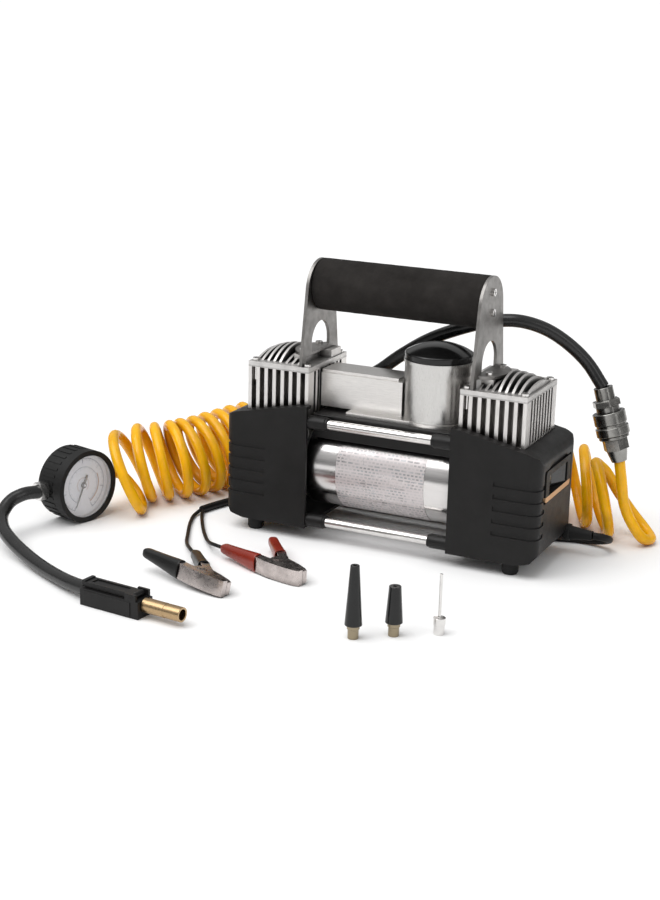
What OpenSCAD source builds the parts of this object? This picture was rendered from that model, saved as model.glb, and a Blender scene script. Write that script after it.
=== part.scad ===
// Twin stack air compressor, 12 V, with recoil hose, gauge, chuck, battery clamps and nozzles.
// Units are millimetres, +Z is up, +X is along the motor, -Y is the front.
// The origin is on the floor, at the centre of the four feet.

/* [Body] */
// overall length over the two end covers
body_l = 270; // [266:1:276]
// overall depth of the end covers
body_d = 88.6; // [87:0.2:90]
// height of the motor axis above the floor
motor_z = 58; // [57:0.5:59]
// outer radius of the motor can
motor_r = 36; // [35:0.5:36.5]
// width of each raised groove on the end covers
groove_h = 3.4; // [2:0.2:5]

/* [Cylinders] */
// cylinder bore radius
bore_r = 15; // [14:0.5:15.5]
// piston stroke
stroke = 16; // [12:1:18]
// width of one cooling fin
fin_w = 3.1; // [2.4:0.1:3.6]

/* [Handle] */
// radius of the foam grip
grip_r = 20.8; // [18:0.2:22]
// radius of the bracket's arched top
arch_r = 25; // [23:0.5:27]

/* [Air line] */
// delivery hose diameter
delivery_d = 10.6; // [9:0.2:11]
// recoil hose diameter
recoil_d = 9; // [7:0.2:9.4]
// outer diameter of the recoil coil
coil_od = 66; // [60:1:66]
// gauge hose diameter
gauge_hose_d = 11; // [9:0.5:12]
// gauge boot radius
boot_r = 30.4; // [28:0.2:30.4]

/* [Power lead] */
// power lead diameter
lead_d = 6.2; // [5:0.2:7]
// single wire diameter
wire_d = 3; // [2.4:0.2:3.4]

/* [Hidden] */
$fn = 64;

half_l = body_l / 2;
half_d = body_d / 2;
cover_in = 61.3;
cover_z0 = 10.6;
cover_z1 = 100;
collar_z = 112;
wall = 2.6;
cyl_x = 91.4;
head_w = 54.2;
head_d = 71.4;
fin_z0 = 99.8;
fin_z1 = 137;
plate_z = 138.2;
flange_z = 141.4;
foot_x = 111.5;
foot_y = 32.8;
rod_y = 38;
rod_z = [16.8, 98.5];
grip_z = 203.6;
plate_x = 71.4;
tank_x = 32.4;
tank_r = 27;
plate_t = 2.6;
crank_r = stroke / 2;
gauge_c = [-238, -90, 30.5];
gauge_yaw = -15;
chuck_c = [-140, -240.5, 9.2];
chuck_yaw = -6.5;
coupler_c = [164, 70, 72];
coupler_tilt = -17;
black_c = [-55.7, -184.8, 6.5];
black_rot = [-10, 4.6, -18.3];
red_c = [-16.7, -136.6, 6.6];
red_rot = [0.6, 1.4, -20.5];
needle_rest = 25;

// ---------- route points of the hoses and wires ----------
delivery_pts = [[-44, 24, 124], [-34, 24, 129], [-12, 26, 146], [12, 28, 162], [36, 30, 173],
  [58, 36, 180], [80, 44, 182], [100, 54, 176], [118, 62, 164], [132, 68, 150], [146, 70, 131]];
feed_pts = [[164, 70, 72], [167, 70, 55], [170, 72, 37], [177, 76, 20], [187, 83, 6.4],
  [187, 96, 5], [176, 101, 8], [160, 103, 27], [148, 100, 45], [140, 96, 60]];
coil_axis = [[-224.4, -45], [-221, -16], [-209, 14], [-200, 46], [-195, 78], [-180, 107],
  [-146, 121], [-90, 123], [50, 123], [98, 121], [124, 113], [146, 92]];
tail_pts = [[-219, -40, 5], [-226, -34, 7], [-235, -30, 14], [-242, -33, 24],
  [-245.4, -47, 30.5]];
gauge_hose_pts = [[-265.2, -122, 30.5], [-271, -133, 31], [-276, -143, 28], [-275, -158, 21],
  [-264, -173, 15.5], [-247, -186, 12], [-227, -197.5, 8.6],
  [-183, -221, 6.4], [-163, -231, 7.4], [-140, -240.5, 9.2]];
lead_pts = [[156, 36, 17], [162, 38, 16.4], [166, 46, 13], [163, 56, 8.4], [152, 61, 4.6],
  [138, 62, 3.3], [118, 57, 3.3], [94, 53.1, 3.3]];
hank_c = [0, 66];
hank_l = 190;
hank_w = 32;
hank_h = 39.6;
power_tail_pts = [[-94, 53.1, 35], [-110, 54, 27], [-126, 56, 14], [-140, 54, 5.4],
  [-149, 45, 3.3], [-153, 30, 3.3], [-157, 14, 3.3], [-165, -12, 3.3],
  [-168, -24, 3.3]];
black_wire_pts = [[-168.5, -24, 3.2], [-168, -36, 2], [-162, -53, 2], [-149, -80, 2],
  [-136, -104, 3.2], [-125.5, -118, 5.4], [-115.3, -129, 6.4]];
red_wire_pts = [[-167, -24, 3.2], [-161, -36, 2], [-153, -49.5, 2], [-137, -74, 2.2],
  [-122, -94, 4], [-109, -108, 8], [-98.4, -112.5, 8.6]];

// ---------- helpers ----------
function unit(v) = v / norm(v);
function tangent(p, i) = let(a = max(i - 1, 0), b = min(i + 1, len(p) - 1)) unit(p[b] - p[a]);
function ring(c, t, ref, r, n) =
  let(s = unit(cross(t, ref)), w = cross(s, t))
  [for (k = [0 : n - 1]) c + r * (cos(360 * k / n) * s + sin(360 * k / n) * w)];
function flat(v) = [for (a = v) for (b = a) b];
function sides(m, n) = [for (i = [0 : m - 2]) for (k = [0 : n - 1]) for (h = [0, 1])
  let(a = i * n + k, b = i * n + (k + 1) % n)
  h == 0 ? [a, a + n, b] : [b, a + n, b + n]];

// round tube swept along points, with flat ends
module tube(p, d, n = 8, ref = [0, 0, 1]) {
  m = len(p);
  rings = [for (i = [0 : m - 1]) ring(p[i], tangent(p, i), ref, d / 2, n)];
  first = [for (k = [0 : n - 1]) k];
  last = [for (k = [0 : n - 1]) m * n - 1 - k];
  polyhedron(flat(rings), concat([first], [last], sides(m, n)));
}

module box(x, y, z) {
  translate([x[0], y[0], z[0]])
    cube([x[1] - x[0], y[1] - y[0], z[1] - z[0]]);
}

module xcyl(r, x0, x1) {
  translate([x0, 0, 0])
    rotate([0, 90, 0])
      cylinder(r = r, h = x1 - x0);
}

module ycyl(r, y0, y1) {
  translate([0, y0, 0])
    rotate([-90, 0, 0])
      cylinder(r = r, h = y1 - y0);
}

module rrect(x, y, r) {
  union() {
    translate([-x / 2 + r, -y / 2]) square([x - 2 * r, y]);
    translate([-x / 2, -y / 2 + r]) square([x, y - 2 * r]);
    for (i = [-1, 1], j = [-1, 1])
      translate([i * (x / 2 - r), j * (y / 2 - r)]) circle(r = r);
  }
}

module on_sides() {
  for (s = [-1, 1]) translate([s * cyl_x, 0, 0]) children();
}

// ---------- end covers ----------
// plan of a cover, drawn for the right-hand side, e is how far it is drawn in
module cover_plan(e) {
  r = 9 - e / 3;
  difference() {
    translate([(cover_in + half_l) / 2 - 20, 0])
      rrect(half_l - cover_in + 40 - 2 * e, body_d - 2 * e, r);
    translate([0, -100]) square([cover_in, 200]);
  }
}

module side_profile(e) {
  polygon([
    [cover_in - 1, cover_z0 + e], [118, cover_z0 + e], [half_l - 5 - e, cover_z0 + 3 + e],
    [half_l - e, cover_z0 + 9 + e], [half_l - e, cover_z1 - 9], [half_l - 2.5 - e, cover_z1 - 3],
    [half_l - 10 - e, cover_z1 - e], [cover_in + 10, collar_z - 1 - e],
    [cover_in - 1, collar_z - e]
  ]);
}

module cover_mass(e) {
  intersection() {
    linear_extrude(height = 130) cover_plan(e);
    translate([0, 70, 0])
      rotate([90, 0, 0])
        linear_extrude(height = 140) side_profile(e);
  }
}

module cover_grooves() {
  for (k = [0 : 4])
    translate([0, 0, 73 - k * 9.8 - groove_h / 2])
      difference() {
        box([98, 150], [-60, 60], [0, groove_h]);
        translate([0, 0, -1]) linear_extrude(height = groove_h + 2)
          translate([(cover_in + half_l) / 2 - 20, 0])
            rrect(half_l - cover_in + 40 - 1.8, body_d - 1.8, 8.4);
        box([126, 150], [-30, 60], [-1, groove_h + 1]);
      }
}

module cover_right_shape() {
  difference() {
    cover_mass(0);
    difference() {
      cover_mass(wall);
      for (i = [-1, 1]) translate([foot_x, i * foot_y, 0]) cylinder(r = 5, h = 30);
    }
    cover_grooves();
    // opening for the finned cylinder
    translate([cyl_x, 0, 90]) linear_extrude(height = 40) rrect(head_w + 1.2, head_d + 1.2, 1);
    box([cover_in - 2, cyl_x], [-head_d / 2 - 0.6, head_d / 2 + 0.6], [104.8, 130]);
    // opening for the motor and the deck
    translate([0, 0, motor_z]) xcyl(motor_r + 1.2, cover_in - 3, cover_in + 5);
    box([cover_in - 3, cover_in + 5], [-33, 33], [84, 130]);
    // holes of the tie rods
    for (i = [-1, 1], z = rod_z)
      translate([0, i * rod_y, z]) xcyl(4.05, cover_in - 3, cover_in + 5);
    // screw holes of the feet
    for (i = [-1, 1]) translate([foot_x, i * foot_y, 0]) cylinder(r = 2.1, h = 22);
    // cooling slots along the rear wall
    for (k = [0 : 4]) box([78 + k * 9, 82 + k * 9], [half_d - 5, half_d + 5], [36, 78]);
  }
}

module cover_left() {
  color([0.09, 0.09, 0.1])
    mirror([1, 0, 0]) cover_right_shape();
}

module cover_right() {
  color([0.09, 0.09, 0.1])
    difference() {
      cover_right_shape();
      // opening of the rocker switch
      translate([half_l - 10, 0, 72])
        rotate([90, 0, 90]) linear_extrude(height = 20) rrect(52.4, 20.4, 2);
      // recess round the switch, with an arched top
      translate([half_l - 1.4, 0, 72])
        rotate([90, 0, 90]) linear_extrude(height = 5) {
          rrect(66, 27, 3);
          intersection() {
            translate([0, -40]) circle(r = 58);
            translate([-33, 0]) square([66, 20]);
          }
        }
      // seat of the cable gland
      translate([0, 36, 17]) xcyl(5.05, half_l - 12, half_l + 3);
      translate([0, 36, 17]) xcyl(7.05, half_l - 1.7, half_l + 3);
      translate([0, 36, 17]) xcyl(7.4, half_l - 12, half_l - 2.7);
    }
}

module feet() {
  color([0.05, 0.05, 0.05])
    for (i = [-1, 1], j = [-1, 1])
      translate([i * foot_x, j * foot_y, 0])
        difference() {
          union() {
            cylinder(r1 = 5.6, r2 = 6.6, h = 2);
            translate([0, 0, 2]) cylinder(r = 6.6, h = 8.6);
          }
          translate([0, 0, -1]) cylinder(r = 2.1, h = 14);
        }
}

// ---------- motor ----------
module motor_can() {
  color([0.75, 0.76, 0.78])
    translate([0, 0, motor_z])
      difference() {
        xcyl(motor_r, -65.8, 65.8);
        xcyl(motor_r - 2.4, -70, 70);
      }
}

module motor_label() {
  color([0.85, 0.86, 0.87])
    translate([0, 0, motor_z])
      intersection() {
        difference() {
          xcyl(motor_r + 0.25, -38.5, 37.5);
          xcyl(motor_r, -60, 60);
        }
        rotate([0, 90, 0])
          translate([0, 0, -50])
            linear_extrude(height = 100)
              polygon([for (a = [-36 : 6 : 78]) 60 * [sin(a), -cos(a)], [0, 0]]);
      }
}

module arc_plan(r0, r1, half) {
  difference() {
    circle(r = r1);
    circle(r = r0);
    for (s = [0, 1]) rotate(s * 180)
      polygon([[0, 0], 60 * [cos(half), sin(half)], 60 * [0, 1], 60 * [-cos(half), sin(half)]]);
  }
}

module magnets() {
  color([0.2, 0.2, 0.22])
    translate([-36, 0, motor_z])
      rotate([0, 90, 0])
        linear_extrude(height = 66) arc_plan(28.2, motor_r - 2.45, 62);
}

module brush_gear() {
  color([0.32, 0.2, 0.12])
    translate([0, 0, motor_z]) {
      difference() {
        xcyl(motor_r - 2.5, 54, 57);
        xcyl(13, 50, 60);
      }
      for (i = [-1, 1])
        box([45.4, 54], i > 0 ? [13.1, 24] : [-24, -13.1], [-3.5, 3.5]);
    }
}

module armature() {
  color([0.6, 0.35, 0.2])
    translate([0, 0, motor_z]) {
      difference() {
        union() {
          xcyl(27.4, -34, 28);
          xcyl(20, -44, 38);
          xcyl(12.6, 38, 56);
        }
        xcyl(4, -60, 60);
        for (k = [0 : 11]) rotate([30 * k, 0, 0]) box([-35, 29], [-1.2, 1.2], [21, 29]);
      }
    }
}

module crank_disc(s) {
  // the heavy side is opposite the pin
  xcyl(13, 79, 86.8);
  intersection() {
    xcyl(21, 79, 86.8);
    box([70, 90], [-22, 22], s > 0 ? [2, 22] : [-22, -2]);
  }
}

module crankshaft() {
  color([0.6, 0.6, 0.62])
    translate([0, 0, motor_z]) {
      xcyl(4, -79.5, 79.5);
      crank_disc(1);
      mirror([1, 0, 0]) crank_disc(-1);
    }
}

// ---------- cylinder blocks ----------
module fin_plan() {
  pitch = (head_w - fin_w) / 7;
  side = (head_d - fin_w) / 10;
  difference() {
    square([head_w, head_d], center = true);
    for (k = [0 : 6], j = [-1, 1])
      translate([-head_w / 2 + fin_w + k * pitch, j > 0 ? head_d / 2 - 9 : -head_d / 2 - 1])
        square([pitch - fin_w, 10]);
    for (k = [1 : 8], j = [-1, 1])
      translate([j > 0 ? head_w / 2 - 5 : -head_w / 2 - 1, -head_d / 2 + fin_w + k * side])
        square([6, side - fin_w]);
  }
}

module block_shape() {
  difference() {
    union() {
      translate([0, 0, motor_z]) xcyl(33.6, 66, 118);
      box([68, 115], [-26, 26], [80, fin_z0 + 0.1]);
      translate([cyl_x, 0, fin_z0 + 2]) linear_extrude(height = fin_z1 - fin_z0 - 2) fin_plan();
      translate([cyl_x - head_w / 2, -head_d / 2, fin_z0]) cube([head_w, head_d, 2.2]);
    }
    translate([0, 0, motor_z]) xcyl(25, 70, 130);
    translate([0, 0, motor_z]) xcyl(4.06, 50, 80);
    translate([cyl_x, 0, motor_z]) cylinder(r = bore_r + 2.5, h = 100);
    for (i = [-1, 1], j = [-1, 1])
      translate([cyl_x + i * 23, j * 30, 120]) cylinder(r = 1.65, h = 40);
  }
}

module blocks() {
  color([0.72, 0.73, 0.74]) {
    block_shape();
    mirror([1, 0, 0]) block_shape();
  }
}

module liners() {
  color([0.5, 0.51, 0.53])
    on_sides()
      translate([0, 0, 90])
        difference() {
          cylinder(r = bore_r + 2.5, h = fin_z1 - 90);
          translate([0, 0, -1]) cylinder(r = bore_r, h = 60);
        }
}

// one casting: crank pin, rod and piston with its cup seal
module piston_shape(pin_z, side) {
  top = pin_z + 70.2;
  translate([side * cyl_x, 0, 0]) {
    translate([0, 0, pin_z]) xcyl(9, -4, 4);
    box([-4, 4], [-5, 5], [pin_z + 6, top - 7]);
    translate([0, 0, top - 8]) cylinder(r = bore_r - 0.05, h = 8);
  }
}

module piston_left() {
  color([0.66, 0.67, 0.68]) piston_shape(motor_z + crank_r, -1);
}

module piston_right() {
  color([0.66, 0.67, 0.68]) piston_shape(motor_z - crank_r, 1);
}

module valve_plates() {
  color([0.45, 0.46, 0.48])
    on_sides()
      translate([0, 0, fin_z1])
        difference() {
          linear_extrude(height = plate_z - fin_z1) square([head_w, head_d], center = true);
          for (i = [-1, 1]) translate([i * 6, 0, -1]) cylinder(r = 2.2, h = 4);
          for (i = [-1, 1], j = [-1, 1]) translate([i * 23, j * 30, -1]) cylinder(r = 1.65, h = 4);
        }
}

// arched fin standing along Y
module top_fin(x, h, half) {
  r = (half * half + h * h) / (2 * h);
  translate([x - 1.1, 0, flange_z - 0.1])
    rotate([90, 0, 90])
      linear_extrude(height = 2.2)
        intersection() {
          translate([0, h + 0.1 - r]) circle(r = r, $fn = 96);
          translate([-half + 0.4, 0]) square([2 * half - 0.8, h + 1]);
        }
}

module head_shape() {
  difference() {
    union() {
      translate([cyl_x - head_w / 2, -head_d / 2, plate_z])
        cube([head_w, head_d, flange_z - plate_z]);
      for (k = [0 : 4])
        top_fin(cyl_x + 23.6 - k * 5.4, 10.8 - 0.36 * (4 - k) * (4 - k), k == 0 ? 26.2 : 29);
      for (k = [5 : 7]) top_fin(cyl_x + 23.6 - k * 5.4, 6.2, 29);
      translate([cyl_x - head_w / 2 + 1, 8, flange_z - 0.1]) cube([24, 18.2, 6.4]);
      translate([cyl_x - head_w / 2 + 11, -20, flange_z - 0.1]) cube([10, 10, 6.4]);
    }
    for (i = [-1, 1], j = [-1, 1])
      translate([cyl_x + i * 23, j * 30, 130]) cylinder(r = 1.65, h = 40);
    for (j = [-15, 15])
      translate([80, j, flange_z]) cylinder(r = 1.65, h = 20);
    // chamber above the valves
    translate([cyl_x, 0, plate_z - 1]) cylinder(r = 12, h = 3);
  }
}

module heads() {
  color([0.76, 0.77, 0.78]) {
    head_shape();
    mirror([1, 0, 0]) head_shape();
  }
}

// pan head machine screw, head up at the origin
module screw(l) {
  difference() {
    union() {
      cylinder(r = 3, h = 2);
      translate([0, 0, -l]) cylinder(r = 1.65, h = l + 0.1);
    }
    box([-2, 2], [-0.45, 0.45], [1.1, 3]);
    box([-0.45, 0.45], [-2, 2], [1.1, 3]);
  }
}

module screws() {
  color([0.7, 0.71, 0.73])
    for (s = [-1, 1]) {
      for (i = [-1, 1], j = [-1, 1])
        translate([s * cyl_x + i * 23, j * 30, flange_z]) screw(16);
      for (j = [-15, 15])
        translate([s * 80, j, 150.4]) screw(9);
      for (k = [-1, 1])
        translate([s * (plate_x + plate_t), 0, grip_z + k * 8]) rotate([0, s * 90, 0]) screw(12);
    }
}

// ---------- frame between the covers ----------
module tie_rods() {
  color([0.8, 0.8, 0.82])
    for (j = [-1, 1], z = rod_z)
      translate([0, j * rod_y, z]) xcyl(4, -65, 65);
}

module rod_collars() {
  color([0.08, 0.08, 0.09])
    for (s = [-1, 1], j = [-1, 1], z = rod_z)
      translate([0, j * rod_y, z])
        difference() {
          union() {
            xcyl(5.7, s > 0 ? 46.5 : -61.2, s > 0 ? 61.2 : -46.5);
            xcyl(5.1, s > 0 ? 44.5 : -46.5, s > 0 ? 46.5 : -44.5);
          }
          xcyl(4.02, -70, 70);
        }
}

module deck() {
  color([0.07, 0.07, 0.08])
    difference() {
      box([-61, 61], [-31.5, 31.5], [84.5, 104]);
      translate([0, 0, motor_z]) xcyl(motor_r + 0.4, -70, 70);
      box([-70, 70], [-22, 22], [80, 96.6]);
    }
}

module manifold() {
  color([0.8, 0.8, 0.81])
    difference() {
      union() {
        // foot plate, round under the tank
        box([-36, tank_x], [-24.5, 24.5], [104, 107]);
        translate([tank_x, 0, 104]) cylinder(r = tank_r + 1.4, h = 3);
        // air block
        box([-62.8, 8], [-15, 15], [107, 134.6]);
        // stepped top
        box([-62.8, 4], [-13.4, 13.4], [134.5, 137]);
      }
      // air passage
      translate([0, 0, 121]) xcyl(4, -70, 30);
      // seat of the tank
      translate([tank_x, 0, 106]) cylinder(r = tank_r + 0.42, h = 60);
      // outlet
      translate([-44, 0, 121]) ycyl(4.5, 0, 20);
    }
}

module tank() {
  color([0.82, 0.82, 0.84])
    translate([tank_x, 0, 106])
      difference() {
        union() {
          cylinder(r = tank_r + 0.4, h = 3);
          translate([0, 0, 3]) cylinder(r = tank_r, h = 43);
          translate([0, 0, 46]) cylinder(r = tank_r + 0.8, h = 2.6);
        }
        translate([0, 0, 2.4]) cylinder(r = tank_r - 2.2, h = 60);
        rotate([0, 0, 180]) translate([0, 0, 15]) xcyl(4, 10, 40);
      }
}

module tank_cap() {
  color([0.04, 0.04, 0.05])
    translate([tank_x, 0, 154.6])
      difference() {
        union() {
          cylinder(r = tank_r + 0.3, h = 5);
          translate([0, 0, 5])
            intersection() {
              translate([0, 0, -42.6]) sphere(r = 50.6);
              cylinder(r = tank_r + 0.3, h = 12);
            }
          translate([0, 0, -4]) cylinder(r = tank_r - 2.3, h = 5);
        }
        translate([0, 0, -5]) cylinder(r = tank_r - 4.6, h = 8);
      }
}

module outlet_elbow() {
  color([0.7, 0.7, 0.72])
    difference() {
      union() {
        translate([-44, 0, 121]) ycyl(4.4, 6, 15);
        translate([-44, 0, 121]) ycyl(7, 15, 24);
        translate([-44, 24, 121]) sphere(r = 7);
        translate([-44, 24, 121]) cylinder(r = 6.6, h = 3);
      }
      translate([-44, 0, 121]) ycyl(2.4, 0, 20);
    }
}

// ---------- handle ----------
module bracket_plan() {
  top = grip_z + 20.6 - arch_r;
  difference() {
    union() {
      translate([0, top]) circle(r = arch_r);
      polygon([[-34, flange_z], [34, flange_z], [arch_r - 0.1, top + 2], [-arch_r + 0.1, top + 2]]);
    }
    translate([0, 157]) circle(r = 16.4);
    translate([-16.4, 150.4]) square([32.8, 6.8]);
    translate([-26.8, flange_z - 1]) square([53.6, 7.4]);
    for (k = [-1, 1]) translate([0, grip_z + k * 8]) circle(r = 1.75);
  }
}

module bracket_shape() {
  difference() {
    union() {
      translate([plate_x, 0, 0])
        rotate([90, 0, 90]) linear_extrude(height = plate_t) bracket_plan();
      translate([0, 0, 147.8])
        linear_extrude(height = 2.6)
          intersection() {
            translate([plate_x - 8, 0]) circle(r = 27.6);
            translate([plate_x, -24]) square([40, 48]);
          }
    }
    for (j = [-15, 15]) translate([80, j, 140]) cylinder(r = 1.75, h = 20);
  }
}

module brackets() {
  color([0.62, 0.63, 0.64]) {
    bracket_shape();
    mirror([1, 0, 0]) bracket_shape();
  }
}

module grip_core() {
  color([0.3, 0.3, 0.32])
    translate([0, 0, grip_z])
      difference() {
        xcyl(13, -plate_x, plate_x);
        for (k = [-1, 1]) translate([0, 0, k * 8]) {
          xcyl(1.65, -plate_x - 1, -plate_x + 14);
          xcyl(1.65, plate_x - 14, plate_x + 1);
        }
        xcyl(5, -50, 50);
      }
}

module foam_grip() {
  color([0.06, 0.06, 0.06])
    translate([0, 0, grip_z])
      difference() {
        xcyl(grip_r, -plate_x + 0.2, plate_x - 0.2);
        xcyl(13, -90, 90);
      }
}

// ---------- switch and cable gland ----------
module switch_bezel() {
  color([0.62, 0.5, 0.3])
    translate([half_l - 1.4, 0, 72])
      rotate([90, 0, 90])
        difference() {
          union() {
            linear_extrude(height = 2) rrect(60, 25, 2.6);
            translate([0, 0, -7]) linear_extrude(height = 8) rrect(52, 20, 2);
          }
          translate([0, 0, -8]) linear_extrude(height = 12) rrect(44, 16, 1);
          // sockets of the rocker's pivot
          translate([0, 0, -5]) ycyl(1.55, -9.3, 9.3);
        }
}

// rests in the off position; its pivot is behind the face
module rocker() {
  color([0.05, 0.05, 0.05])
    translate([half_l - 6.4, 0, 72])
      rotate([0, 0, -7]) {
        translate([0, 0, -7.6])
          linear_extrude(height = 15.2)
            polygon([[-1.6, -20], [3.6, -20.6], [1.2, 0], [3.6, 20.6], [-1.6, 20], [-2, 0]]);
        translate([0, 0, -9]) cylinder(r = 1.5, h = 18);
      }
}

module cable_gland() {
  color([0.05, 0.05, 0.05])
    translate([0, 36, 17])
      difference() {
        union() {
          xcyl(5, half_l - 6, half_l + 1);
          xcyl(7, half_l - 1.7, half_l + 2.4);
          xcyl(7, half_l - 8.5, half_l - 3);
          translate([half_l + 2, 0, 0]) rotate([0, 90, 0]) cylinder(r1 = 5.6, r2 = 3.9, h = 19);
        }
        xcyl(3.1, half_l - 12, half_l + 30);
      }
}

// ---------- hoses ----------
module delivery_hose() {
  color([0.08, 0.08, 0.08]) tube(delivery_pts, delivery_d, 10, [0, 1, 0]);
}

module recoil_feed() {
  color([0.92, 0.68, 0.08]) tube(feed_pts, recoil_d, 8, [0, 1, 0]);
}

module recoil_coil() {
  r = coil_od / 2;
  color([0.92, 0.68, 0.08]) tube([for (a = coil_axis) [a[0], a[1], r]], coil_od, 12);
}

module recoil_tail() {
  color([0.92, 0.68, 0.08]) tube(tail_pts, recoil_d, 8);
}

module gauge_hose() {
  color([0.08, 0.08, 0.08]) tube(gauge_hose_pts, gauge_hose_d, 10);
}

module power_lead() {
  color([0.06, 0.06, 0.06]) tube(lead_pts, lead_d, 8);
}

module power_hank() {
  color([0.06, 0.06, 0.06])
    translate([hank_c[0], hank_c[1], 0])
      linear_extrude(height = hank_h)
        difference() {
          rrect(hank_l, hank_w, hank_w / 2 - 0.01);
          rrect(hank_l - 2 * lead_d, hank_w - 2 * lead_d, hank_w / 2 - lead_d - 0.01);
        }
}

module power_tail() {
  color([0.06, 0.06, 0.06]) tube(power_tail_pts, lead_d, 8);
}

module clamp_wires() {
  color([0.05, 0.05, 0.05]) {
    tube(black_wire_pts, wire_d, 8);
    tube(red_wire_pts, wire_d, 8);
  }
}

// ---------- quick coupler, drawn standing on its hose end ----------
module at_coupler() {
  translate(coupler_c) rotate([0, coupler_tilt, 0]) children();
}

module coupler_plug() {
  color([0.7, 0.7, 0.72])
    at_coupler()
      difference() {
        union() {
          cylinder(r1 = 6.2, r2 = 8.6, h = 10);
          translate([0, 0, 10]) cylinder(r = 10.6, h = 9, $fn = 6);
          translate([0, 0, 19]) cylinder(r = 5.4, h = 16);
        }
        translate([0, 0, -1]) cylinder(r = recoil_d / 2, h = 9);
        translate([0, 0, 7]) cylinder(r = 2, h = 40);
      }
}

module coupler_socket() {
  color([0.68, 0.68, 0.7])
    at_coupler()
      difference() {
        union() {
          translate([0, 0, 19.4]) cylinder(r = 9.4, h = 30);
          translate([0, 0, 19.4]) cylinder(r = 12.2, h = 2.4);
          translate([0, 0, 46]) cylinder(r = 11.6, h = 5, $fn = 6);
          translate([0, 0, 50]) cylinder(r = 7.8, h = 11.6);
        }
        translate([0, 0, 19]) cylinder(r = 5.5, h = 17);
        translate([0, 0, 30]) cylinder(r = 2, h = 20);
        translate([0, 0, 48]) cylinder(r = delivery_d / 2, h = 20);
      }
}

module coupler_sleeve() {
  color([0.72, 0.72, 0.74])
    at_coupler()
      difference() {
        union() {
          translate([0, 0, 22.2]) cylinder(r = 13.4, h = 7);
          translate([0, 0, 29.2]) cylinder(r = 12.2, h = 2.4);
          translate([0, 0, 31.6]) cylinder(r = 13.2, h = 9.6);
        }
        translate([0, 0, 20]) cylinder(r = 9.46, h = 30);
      }
}

// ---------- gauge, drawn with its dial facing +X ----------
module at_gauge() {
  translate(gauge_c) rotate([0, 0, gauge_yaw]) children();
}

module gauge_boot() {
  color([0.05, 0.05, 0.05])
    at_gauge()
      difference() {
        union() {
          xcyl(boot_r, -9, 0);
          xcyl(boot_r - 0.6, -28, -8);
          for (k = [0 : 29])
            rotate([12 * k + 6, 0, 0]) box([-26, -10], [-1.2, 1.2], [boot_r - 2, boot_r]);
        }
        xcyl(27.6, -25, -1.6);
        xcyl(26.2, -3, 1);
        translate([-18.6, 0, 0]) ycyl(6.1, -40, 40);
      }
}

module gauge_dial() {
  color([0.88, 0.88, 0.88])
    at_gauge() {
      xcyl(26.6, -7.2, -6.6);
      xcyl(0.8, -6.7, -3.9);
    }
}

module gauge_needle() {
  color([0.05, 0.05, 0.05])
    at_gauge()
      rotate([180 - needle_rest, 0, 0])
        difference() {
          union() {
            xcyl(2.6, -6.1, -4.9);
            translate([-5.8, 0, 0])
              rotate([90, 0, 90])
                linear_extrude(height = 0.6)
                  polygon([[-1.1, -9], [1.1, -9], [0.3, 20], [-0.3, 20]]);
          }
          xcyl(0.85, -8, 0);
        }
}

module gauge_lens() {
  color([0.8, 0.85, 0.9, 0.4])
    at_gauge() xcyl(26.6, -3.5, -1.8);
}

// dial case on a tee that joins the two hoses
module gauge_body() {
  color([0.72, 0.72, 0.74])
    at_gauge()
      difference() {
        union() {
          xcyl(27.5, -12.4, -1.7);
          translate([-18.6, 0, 0]) {
            ycyl(6, -31, 31);
            xcyl(6, 0, 6.3);
            translate([0, -39, 0]) rotate([-90, 0, 0]) cylinder(r = 8, h = 8, $fn = 6);
            translate([0, 31, 0]) rotate([-90, 0, 0]) cylinder(r = 7, h = 8, $fn = 6);
          }
        }
        xcyl(26.7, -11.4, 0);
        translate([-18.6, 0, 0]) {
          ycyl(2, -50, 50);
          ycyl(gauge_hose_d / 2, -50, -35);
          ycyl(recoil_d / 2, 35, 50);
        }
      }
}

// ---------- clip-on chuck, drawn along +X ----------
module at_chuck() {
  translate(chuck_c) rotate([0, 0, chuck_yaw]) children();
}

module chuck_body() {
  color([0.06, 0.06, 0.06])
    at_chuck()
      difference() {
        union() {
          box([0, 53], [-8.6, 8.6], [-9, 4]);
          box([4, 46], [-9.2, 9.2], [-7.6, 2.6]);
          for (j = [-1, 1]) box([41, 51], j > 0 ? [6.4, 8.6] : [-8.6, -6.4], [3.9, 9]);
        }
        xcyl(gauge_hose_d / 2, -1, 12);
        xcyl(2, 5, 40);
        xcyl(3.65, 30, 60);
        // cross hole of the lever pin
        translate([46, 0, 6.4]) ycyl(1.25, -10, 10);
      }
}

module chuck_lever() {
  color([0.08, 0.08, 0.08])
    at_chuck()
      translate([46, 0, 6.4])
        difference() {
          union() {
            box([-44, 0.5], [-5.9, 5.9], [-1.9, 1.9]);
            ycyl(2.1, -5.9, 5.9);
            ycyl(1.2, -8.6, 8.6);
            box([-46, -43], [-5.9, 5.9], [-0.9, 2.8]);
          }
          box([-39, -8], [-3.4, 3.4], [1.1, 5]);
        }
}

module chuck_barrel() {
  color([0.78, 0.58, 0.3])
    at_chuck()
      difference() {
        union() {
          xcyl(3.6, 31, 54);
          xcyl(5.55, 53.3, 72);
          xcyl(5.2, 72, 74);
          xcyl(5.5, 74, 86);
        }
        xcyl(4, 64, 90);
        xcyl(2, 25, 70);
      }
}

// ---------- battery clamps, drawn tip at the origin, handles towards -X ----------
piv_x = -29.5;
splay = 33;
base_w = 6.2;
jaw_w = 4.9;
sheet_t = 0.9;

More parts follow.
